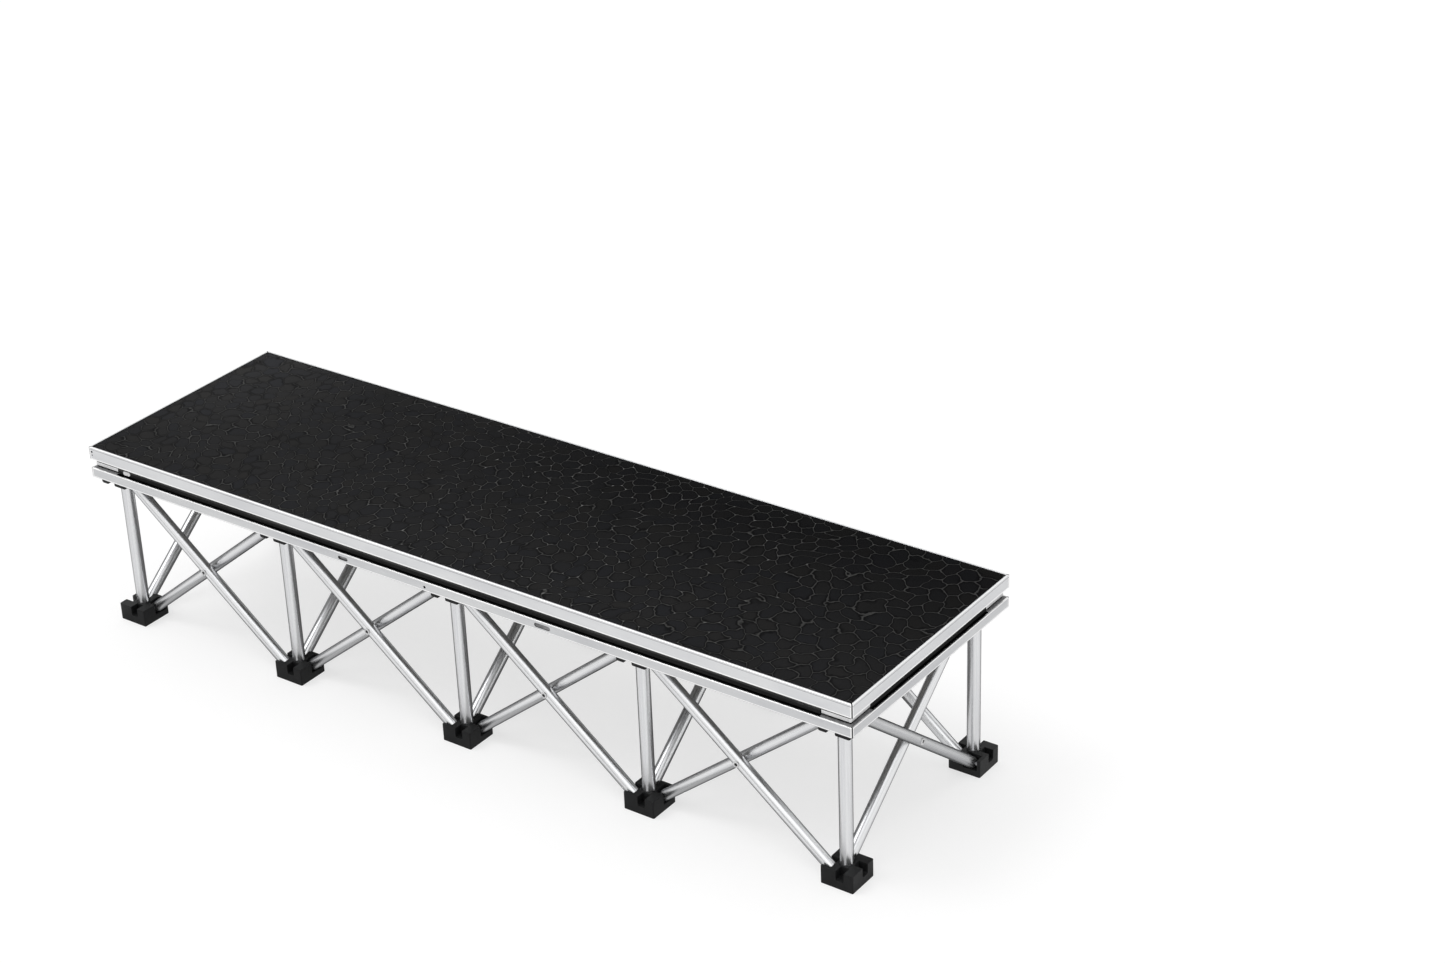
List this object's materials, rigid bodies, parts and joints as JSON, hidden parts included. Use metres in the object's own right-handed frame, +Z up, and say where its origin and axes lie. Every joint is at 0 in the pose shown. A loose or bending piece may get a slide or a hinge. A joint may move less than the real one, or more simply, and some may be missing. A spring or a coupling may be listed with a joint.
{
  "type": "folding stage step",
  "caption": "Low stage step: a black deck in a grooved aluminium edge frame on a riser of round legs and crossed braces that folds once the deck is lifted off.",
  "frame": {"origin": "on the floor under the middle of the deck", "axes": "+X along the step, +Y from its front to its back, +Z up"},
  "size_m": [2, 0.575, 0.44],
  "materials": {
    "band_aluminium": "satin anodised extrusion",
    "tube_aluminium": "smooth bright tube",
    "black_plastic": "black moulded",
    "deck_board": "black faced plywood with a fine cell pattern",
    "loop_strip": "black loop pile"
  },
  "bodies": {
    "top_hub_front_1": {"top_hub_front_1": "black_plastic"},
    "support_front_1": {"foot_front_1": "black_plastic", "leg_front_1": "tube_aluminium"},
    "top_hub_front_2": {"top_hub_front_2": "black_plastic"},
    "support_front_2": {"foot_front_2": "black_plastic", "leg_front_2": "tube_aluminium"},
    "top_hub_front_3": {"top_hub_front_3": "black_plastic"},
    "support_front_3": {"foot_front_3": "black_plastic", "leg_front_3": "tube_aluminium"},
    "top_hub_front_4": {"top_hub_front_4": "black_plastic"},
    "support_front_4": {"foot_front_4": "black_plastic", "leg_front_4": "tube_aluminium"},
    "top_hub_front_5": {"top_hub_front_5": "black_plastic"},
    "support_front_5": {"foot_front_5": "black_plastic", "leg_front_5": "tube_aluminium"},
    "rising_brace_front_1": {"rising_brace_front_1": "tube_aluminium"},
    "falling_brace_front_1": {"falling_brace_front_1": "tube_aluminium"},
    "rising_brace_front_2": {"rising_brace_front_2": "tube_aluminium"},
    "falling_brace_front_2": {"falling_brace_front_2": "tube_aluminium"},
    "rising_brace_front_3": {"rising_brace_front_3": "tube_aluminium"},
    "falling_brace_front_3": {"falling_brace_front_3": "tube_aluminium"},
    "rising_brace_front_4": {"rising_brace_front_4": "tube_aluminium"},
    "falling_brace_front_4": {"falling_brace_front_4": "tube_aluminium"},
    "top_hub_rear_1": {"top_hub_rear_1": "black_plastic"},
    "support_rear_1": {"foot_rear_1": "black_plastic", "leg_rear_1": "tube_aluminium"},
    "top_hub_rear_2": {"top_hub_rear_2": "black_plastic"},
    "support_rear_2": {"foot_rear_2": "black_plastic", "leg_rear_2": "tube_aluminium"},
    "top_hub_rear_3": {"top_hub_rear_3": "black_plastic"},
    "support_rear_3": {"foot_rear_3": "black_plastic", "leg_rear_3": "tube_aluminium"},
    "top_hub_rear_4": {"top_hub_rear_4": "black_plastic"},
    "support_rear_4": {"foot_rear_4": "black_plastic", "leg_rear_4": "tube_aluminium"},
    "top_hub_rear_5": {"top_hub_rear_5": "black_plastic"},
    "support_rear_5": {"foot_rear_5": "black_plastic", "leg_rear_5": "tube_aluminium"},
    "rising_brace_rear_1": {"rising_brace_rear_1": "tube_aluminium"},
    "falling_brace_rear_1": {"falling_brace_rear_1": "tube_aluminium"},
    "rising_brace_rear_2": {"rising_brace_rear_2": "tube_aluminium"},
    "falling_brace_rear_2": {"falling_brace_rear_2": "tube_aluminium"},
    "rising_brace_rear_3": {"rising_brace_rear_3": "tube_aluminium"},
    "falling_brace_rear_3": {"falling_brace_rear_3": "tube_aluminium"},
    "rising_brace_rear_4": {"rising_brace_rear_4": "tube_aluminium"},
    "falling_brace_rear_4": {"falling_brace_rear_4": "tube_aluminium"},
    "rising_depth_brace_1": {"rising_depth_brace_1": "tube_aluminium"},
    "rising_depth_brace_2": {"rising_depth_brace_2": "tube_aluminium"},
    "rising_depth_brace_3": {"rising_depth_brace_3": "tube_aluminium"},
    "rising_depth_brace_4": {"rising_depth_brace_4": "tube_aluminium"},
    "rising_depth_brace_5": {"rising_depth_brace_5": "tube_aluminium"},
    "falling_depth_brace_1": {"falling_depth_brace_1": "tube_aluminium"},
    "falling_depth_brace_5": {"falling_depth_brace_5": "tube_aluminium"},
    "deck": {"deck_panel": "deck_board", "front_rail": "band_aluminium", "rear_rail": "band_aluminium", "left_rail": "band_aluminium", "right_rail": "band_aluminium", "front_strip": "loop_strip", "rear_strip": "loop_strip"}
  },
  "joints": [
    {"name": "falling_brace_rear_3_pivot", "type": "hinge", "parent": "top_hub_rear_3", "child": "falling_brace_rear_3", "pos_m": [0.03, 0.2245, 0.362], "axis": [0, 1, 0], "range_deg": [0, 48]},
    {"name": "support_rear_4_pivot", "type": "hinge", "parent": "falling_brace_rear_3", "child": "support_rear_4", "pos_m": [0.445, 0.2245, 0.028], "axis": [0, 1, 0], "range_deg": [-48, 0]},
    {"name": "rising_brace_rear_3_pivot", "type": "hinge", "parent": "falling_brace_rear_3", "child": "rising_brace_rear_3", "pos_m": [0.2375, 0.2375, 0.195], "axis": [0, 1, 0], "range_deg": [-96, 0]},
    {"name": "top_hub_rear_4_pivot", "type": "hinge", "parent": "rising_brace_rear_3", "child": "top_hub_rear_4", "pos_m": [0.445, 0.2505, 0.362], "axis": [0, 1, 0], "range_deg": [0, 48]},
    {"name": "support_rear_3_pivot", "type": "hinge", "parent": "rising_brace_rear_3", "child": "support_rear_3", "pos_m": [0.03, 0.2505, 0.028], "axis": [0, 1, 0], "range_deg": [0, 48]},
    {"name": "falling_brace_rear_4_pivot", "type": "hinge", "parent": "top_hub_rear_4", "child": "falling_brace_rear_4", "pos_m": [0.505, 0.2245, 0.362], "axis": [0, 1, 0], "range_deg": [0, 48]},
    {"name": "support_rear_5_pivot", "type": "hinge", "parent": "falling_brace_rear_4", "child": "support_rear_5", "pos_m": [0.92, 0.2245, 0.028], "axis": [0, 1, 0], "range_deg": [-48, 0]},
    {"name": "rising_brace_rear_4_pivot", "type": "hinge", "parent": "falling_brace_rear_4", "child": "rising_brace_rear_4", "pos_m": [0.7125, 0.2375, 0.195], "axis": [0, 1, 0], "range_deg": [-96, 0]},
    {"name": "top_hub_rear_5_pivot", "type": "hinge", "parent": "rising_brace_rear_4", "child": "top_hub_rear_5", "pos_m": [0.92, 0.2505, 0.362], "axis": [0, 1, 0], "range_deg": [0, 48]},
    {"name": "rising_brace_rear_2_pivot", "type": "hinge", "parent": "top_hub_rear_3", "child": "rising_brace_rear_2", "pos_m": [-0.03, 0.2505, 0.362], "axis": [0, 1, 0], "range_deg": [-48, 0]},
    {"name": "support_rear_2_pivot", "type": "hinge", "parent": "rising_brace_rear_2", "child": "support_rear_2", "pos_m": [-0.445, 0.2505, 0.028], "axis": [0, 1, 0], "range_deg": [0, 48]},
    {"name": "falling_brace_rear_2_pivot", "type": "hinge", "parent": "rising_brace_rear_2", "child": "falling_brace_rear_2", "pos_m": [-0.2375, 0.2375, 0.195], "axis": [0, 1, 0], "range_deg": [0, 96]},
    {"name": "top_hub_rear_2_pivot", "type": "hinge", "parent": "falling_brace_rear_2", "child": "top_hub_rear_2", "pos_m": [-0.445, 0.2245, 0.362], "axis": [0, 1, 0], "range_deg": [-48, 0]},
    {"name": "rising_brace_rear_1_pivot", "type": "hinge", "parent": "top_hub_rear_2", "child": "rising_brace_rear_1", "pos_m": [-0.505, 0.2505, 0.362], "axis": [0, 1, 0], "range_deg": [-48, 0]},
    {"name": "support_rear_1_pivot", "type": "hinge", "parent": "rising_brace_rear_1", "child": "support_rear_1", "pos_m": [-0.92, 0.2505, 0.028], "axis": [0, 1, 0], "range_deg": [0, 48]},
    {"name": "falling_brace_rear_1_pivot", "type": "hinge", "parent": "rising_brace_rear_1", "child": "falling_brace_rear_1", "pos_m": [-0.7125, 0.2375, 0.195], "axis": [0, 1, 0], "range_deg": [0, 96]},
    {"name": "top_hub_rear_1_pivot", "type": "hinge", "parent": "falling_brace_rear_1", "child": "top_hub_rear_1", "pos_m": [-0.92, 0.2245, 0.362], "axis": [0, 1, 0], "range_deg": [-48, 0]},
    {"name": "rising_depth_brace_3_pivot", "type": "hinge", "parent": "top_hub_rear_3", "child": "rising_depth_brace_3", "pos_m": [-0.013, 0.2075, 0.362], "axis": [1, 0, 0], "range_deg": [0, 48]},
    {"name": "support_front_3_pivot", "type": "hinge", "parent": "rising_depth_brace_3", "child": "support_front_3", "pos_m": [-0.013, -0.2075, 0.028], "axis": [1, 0, 0], "range_deg": [-48, 0]},
    {"name": "rising_brace_front_3_pivot", "type": "hinge", "parent": "support_front_3", "child": "rising_brace_front_3", "pos_m": [0.03, -0.2245, 0.028], "axis": [0, 1, 0], "range_deg": [-48, 0]},
    {"name": "top_hub_front_4_pivot", "type": "hinge", "parent": "rising_brace_front_3", "child": "top_hub_front_4", "pos_m": [0.445, -0.2245, 0.362], "axis": [0, 1, 0], "range_deg": [0, 48]},
    {"name": "falling_brace_front_4_pivot", "type": "hinge", "parent": "top_hub_front_4", "child": "falling_brace_front_4", "pos_m": [0.505, -0.2505, 0.362], "axis": [0, 1, 0], "range_deg": [0, 48]},
    {"name": "support_front_5_pivot", "type": "hinge", "parent": "falling_brace_front_4", "child": "support_front_5", "pos_m": [0.92, -0.2505, 0.028], "axis": [0, 1, 0], "range_deg": [-48, 0]},
    {"name": "rising_brace_front_4_pivot", "type": "hinge", "parent": "falling_brace_front_4", "child": "rising_brace_front_4", "pos_m": [0.7125, -0.2375, 0.195], "axis": [0, 1, 0], "range_deg": [-96, 0]},
    {"name": "top_hub_front_5_pivot", "type": "hinge", "parent": "rising_brace_front_4", "child": "top_hub_front_5", "pos_m": [0.92, -0.2245, 0.362], "axis": [0, 1, 0], "range_deg": [0, 48]},
    {"name": "falling_brace_front_3_pivot", "type": "hinge", "parent": "rising_brace_front_3", "child": "falling_brace_front_3", "pos_m": [0.2375, -0.2375, 0.195], "axis": [0, 1, 0], "range_deg": [0, 96]},
    {"name": "top_hub_front_3_pivot", "type": "hinge", "parent": "falling_brace_front_3", "child": "top_hub_front_3", "pos_m": [0.03, -0.2505, 0.362], "axis": [0, 1, 0], "range_deg": [-48, 0]},
    {"name": "support_front_4_pivot", "type": "hinge", "parent": "falling_brace_front_3", "child": "support_front_4", "pos_m": [0.445, -0.2505, 0.028], "axis": [0, 1, 0], "range_deg": [-48, 0]},
    {"name": "falling_brace_front_2_pivot", "type": "hinge", "parent": "support_front_3", "child": "falling_brace_front_2", "pos_m": [-0.03, -0.2505, 0.028], "axis": [0, 1, 0], "range_deg": [0, 48]},
    {"name": "top_hub_front_2_pivot", "type": "hinge", "parent": "falling_brace_front_2", "child": "top_hub_front_2", "pos_m": [-0.445, -0.2505, 0.362], "axis": [0, 1, 0], "range_deg": [-48, 0]},
    {"name": "rising_brace_front_1_pivot", "type": "hinge", "parent": "top_hub_front_2", "child": "rising_brace_front_1", "pos_m": [-0.505, -0.2245, 0.362], "axis": [0, 1, 0], "range_deg": [-48, 0]},
    {"name": "support_front_1_pivot", "type": "hinge", "parent": "rising_brace_front_1", "child": "support_front_1", "pos_m": [-0.92, -0.2245, 0.028], "axis": [0, 1, 0], "range_deg": [0, 48]},
    {"name": "falling_brace_front_1_pivot", "type": "hinge", "parent": "rising_brace_front_1", "child": "falling_brace_front_1", "pos_m": [-0.7125, -0.2375, 0.195], "axis": [0, 1, 0], "range_deg": [0, 96]},
    {"name": "top_hub_front_1_pivot", "type": "hinge", "parent": "falling_brace_front_1", "child": "top_hub_front_1", "pos_m": [-0.92, -0.2505, 0.362], "axis": [0, 1, 0], "range_deg": [-48, 0]},
    {"name": "rising_brace_front_2_pivot", "type": "hinge", "parent": "falling_brace_front_2", "child": "rising_brace_front_2", "pos_m": [-0.2375, -0.2375, 0.195], "axis": [0, 1, 0], "range_deg": [-96, 0]},
    {"name": "support_front_2_pivot", "type": "hinge", "parent": "rising_brace_front_2", "child": "support_front_2", "pos_m": [-0.445, -0.2245, 0.028], "axis": [0, 1, 0], "range_deg": [0, 48]},
    {"name": "rising_depth_brace_1_pivot", "type": "hinge", "parent": "top_hub_rear_1", "child": "rising_depth_brace_1", "pos_m": [-0.963, 0.2075, 0.362], "axis": [1, 0, 0], "range_deg": [0, 48]},
    {"name": "rising_depth_brace_2_pivot", "type": "hinge", "parent": "top_hub_rear_2", "child": "rising_depth_brace_2", "pos_m": [-0.488, 0.2075, 0.362], "axis": [1, 0, 0], "range_deg": [0, 48]},
    {"name": "rising_depth_brace_4_pivot", "type": "hinge", "parent": "top_hub_rear_4", "child": "rising_depth_brace_4", "pos_m": [0.462, 0.2075, 0.362], "axis": [1, 0, 0], "range_deg": [0, 48]},
    {"name": "rising_depth_brace_5_pivot", "type": "hinge", "parent": "top_hub_rear_5", "child": "rising_depth_brace_5", "pos_m": [0.937, 0.2075, 0.362], "axis": [1, 0, 0], "range_deg": [0, 48]},
    {"name": "falling_depth_brace_1_pivot", "type": "hinge", "parent": "top_hub_front_1", "child": "falling_depth_brace_1", "pos_m": [-0.937, -0.2075, 0.362], "axis": [1, 0, 0], "range_deg": [-48, 0]},
    {"name": "falling_depth_brace_5_pivot", "type": "hinge", "parent": "top_hub_front_5", "child": "falling_depth_brace_5", "pos_m": [0.963, -0.2075, 0.362], "axis": [1, 0, 0], "range_deg": [-48, 0]},
    {"name": "deck_lift", "type": "slide", "parent": "top_hub_rear_3", "child": "deck", "axis": [0, 0, 1], "range_m": [0, 0.12]}
  ],
  "couplings": [
    {"joint": "support_rear_4_pivot", "follows": "falling_brace_rear_3_pivot", "ratio": -1},
    {"joint": "rising_brace_rear_3_pivot", "follows": "falling_brace_rear_3_pivot", "ratio": -2},
    {"joint": "top_hub_rear_4_pivot", "follows": "falling_brace_rear_3_pivot", "ratio": 1},
    {"joint": "support_rear_3_pivot", "follows": "falling_brace_rear_3_pivot", "ratio": 1},
    {"joint": "falling_brace_rear_4_pivot", "follows": "falling_brace_rear_3_pivot", "ratio": 1},
    {"joint": "support_rear_5_pivot", "follows": "falling_brace_rear_3_pivot", "ratio": -1},
    {"joint": "rising_brace_rear_4_pivot", "follows": "falling_brace_rear_3_pivot", "ratio": -2},
    {"joint": "top_hub_rear_5_pivot", "follows": "falling_brace_rear_3_pivot", "ratio": 1},
    {"joint": "rising_brace_rear_2_pivot", "follows": "falling_brace_rear_3_pivot", "ratio": -1},
    {"joint": "support_rear_2_pivot", "follows": "falling_brace_rear_3_pivot", "ratio": 1},
    {"joint": "falling_brace_rear_2_pivot", "follows": "falling_brace_rear_3_pivot", "ratio": 2},
    {"joint": "top_hub_rear_2_pivot", "follows": "falling_brace_rear_3_pivot", "ratio": -1},
    {"joint": "rising_brace_rear_1_pivot", "follows": "falling_brace_rear_3_pivot", "ratio": -1},
    {"joint": "support_rear_1_pivot", "follows": "falling_brace_rear_3_pivot", "ratio": 1},
    {"joint": "falling_brace_rear_1_pivot", "follows": "falling_brace_rear_3_pivot", "ratio": 2},
    {"joint": "top_hub_rear_1_pivot", "follows": "falling_brace_rear_3_pivot", "ratio": -1},
    {"joint": "rising_depth_brace_3_pivot", "follows": "falling_brace_rear_3_pivot", "ratio": 1},
    {"joint": "support_front_3_pivot", "follows": "falling_brace_rear_3_pivot", "ratio": -1},
    {"joint": "rising_brace_front_3_pivot", "follows": "falling_brace_rear_3_pivot", "ratio": -1},
    {"joint": "top_hub_front_4_pivot", "follows": "falling_brace_rear_3_pivot", "ratio": 1},
    {"joint": "falling_brace_front_4_pivot", "follows": "falling_brace_rear_3_pivot", "ratio": 1},
    {"joint": "support_front_5_pivot", "follows": "falling_brace_rear_3_pivot", "ratio": -1},
    {"joint": "rising_brace_front_4_pivot", "follows": "falling_brace_rear_3_pivot", "ratio": -2},
    {"joint": "top_hub_front_5_pivot", "follows": "falling_brace_rear_3_pivot", "ratio": 1},
    {"joint": "falling_brace_front_3_pivot", "follows": "falling_brace_rear_3_pivot", "ratio": 2},
    {"joint": "top_hub_front_3_pivot", "follows": "falling_brace_rear_3_pivot", "ratio": -1},
    {"joint": "support_front_4_pivot", "follows": "falling_brace_rear_3_pivot", "ratio": -1},
    {"joint": "falling_brace_front_2_pivot", "follows": "falling_brace_rear_3_pivot", "ratio": 1},
    {"joint": "top_hub_front_2_pivot", "follows": "falling_brace_rear_3_pivot", "ratio": -1},
    {"joint": "rising_brace_front_1_pivot", "follows": "falling_brace_rear_3_pivot", "ratio": -1},
    {"joint": "support_front_1_pivot", "follows": "falling_brace_rear_3_pivot", "ratio": 1},
    {"joint": "falling_brace_front_1_pivot", "follows": "falling_brace_rear_3_pivot", "ratio": 2},
    {"joint": "top_hub_front_1_pivot", "follows": "falling_brace_rear_3_pivot", "ratio": -1},
    {"joint": "rising_brace_front_2_pivot", "follows": "falling_brace_rear_3_pivot", "ratio": -2},
    {"joint": "support_front_2_pivot", "follows": "falling_brace_rear_3_pivot", "ratio": 1},
    {"joint": "rising_depth_brace_1_pivot", "follows": "falling_brace_rear_3_pivot", "ratio": 1},
    {"joint": "rising_depth_brace_2_pivot", "follows": "falling_brace_rear_3_pivot", "ratio": 1},
    {"joint": "rising_depth_brace_4_pivot", "follows": "falling_brace_rear_3_pivot", "ratio": 1},
    {"joint": "rising_depth_brace_5_pivot", "follows": "falling_brace_rear_3_pivot", "ratio": 1},
    {"joint": "falling_depth_brace_1_pivot", "follows": "falling_brace_rear_3_pivot", "ratio": -1},
    {"joint": "falling_depth_brace_5_pivot", "follows": "falling_brace_rear_3_pivot", "ratio": -1}
  ]
}
